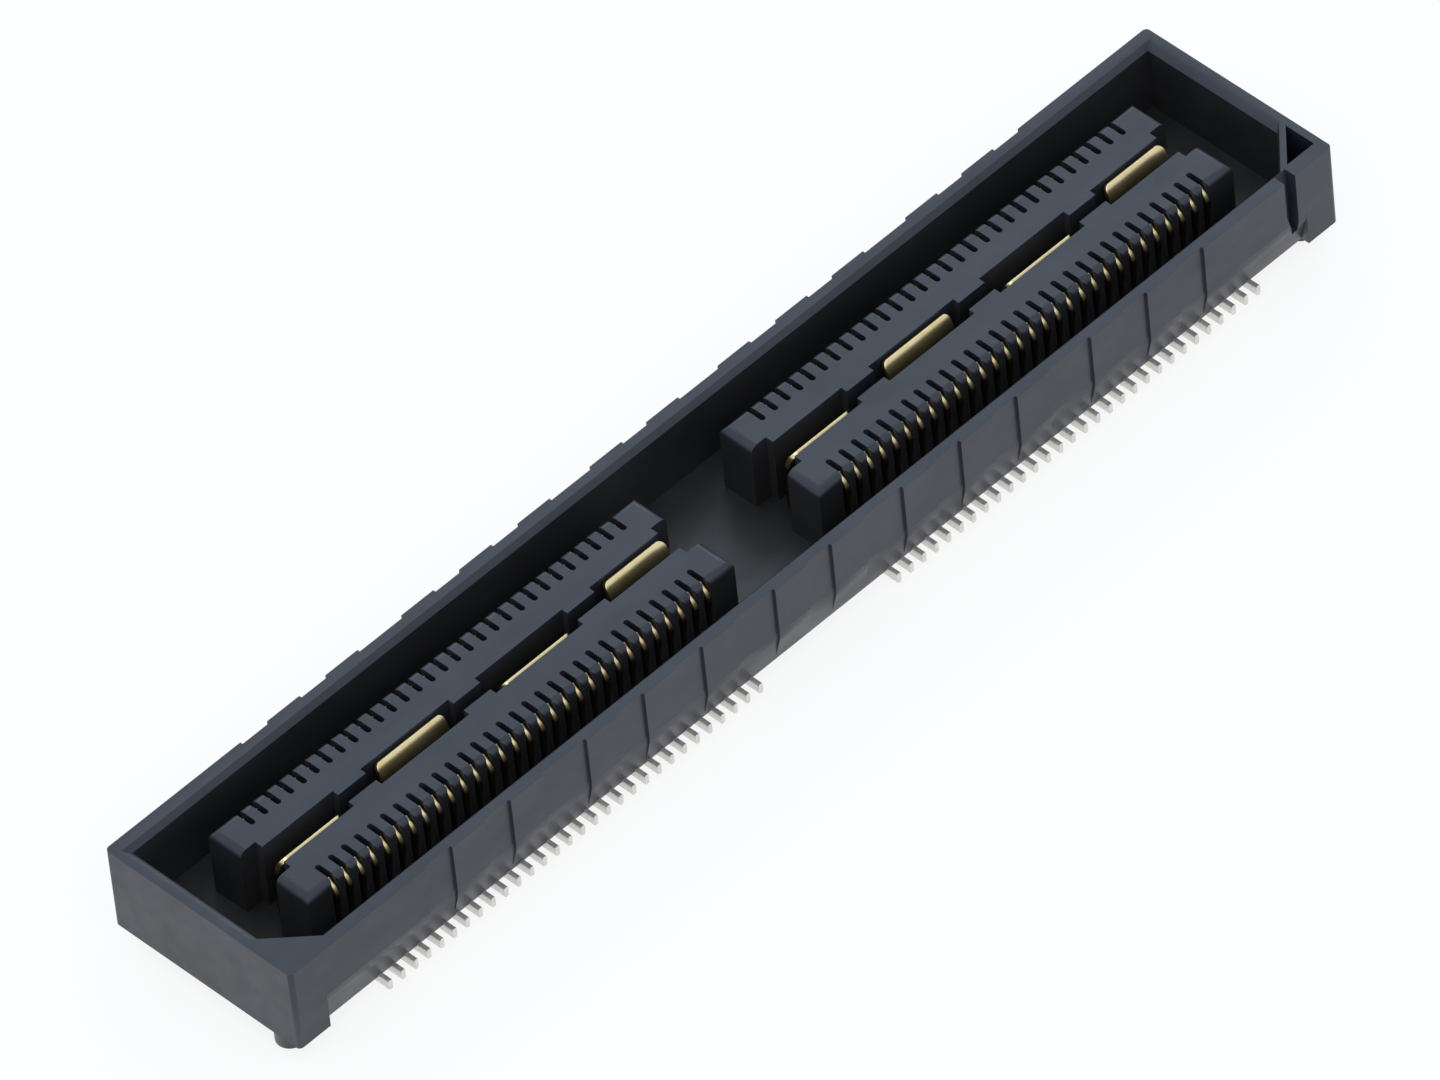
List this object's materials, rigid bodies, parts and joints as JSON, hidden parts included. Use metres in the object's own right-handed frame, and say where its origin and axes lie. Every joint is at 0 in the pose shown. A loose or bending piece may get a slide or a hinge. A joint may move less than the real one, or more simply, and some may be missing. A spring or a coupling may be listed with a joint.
{
  "type": "board-to-board connector",
  "caption": "Long low surface-mount socket strip with a shrouding wall, slotted contact ridges, blade ground planes and fine solder tails along both sides.",
  "frame": {"origin": "centre of the bounding box in plan, at the height of the tips of the locating pins", "axes": "+X along the strip towards the end whose cavity corner is cored out, -Y towards the side with the locating pins, +Z from the board towards the mating side"},
  "size_m": [0.0412, 0.0074, 0.0037],
  "materials": {
    "black_plastic": "satin",
    "gold_plate": "bright"
  },
  "bodies": {
    "root": {"housing_with_contacts": "black_plastic", "ground_plane_1": "gold_plate", "ground_plane_2": "gold_plate"}
  },
  "joints": []
}
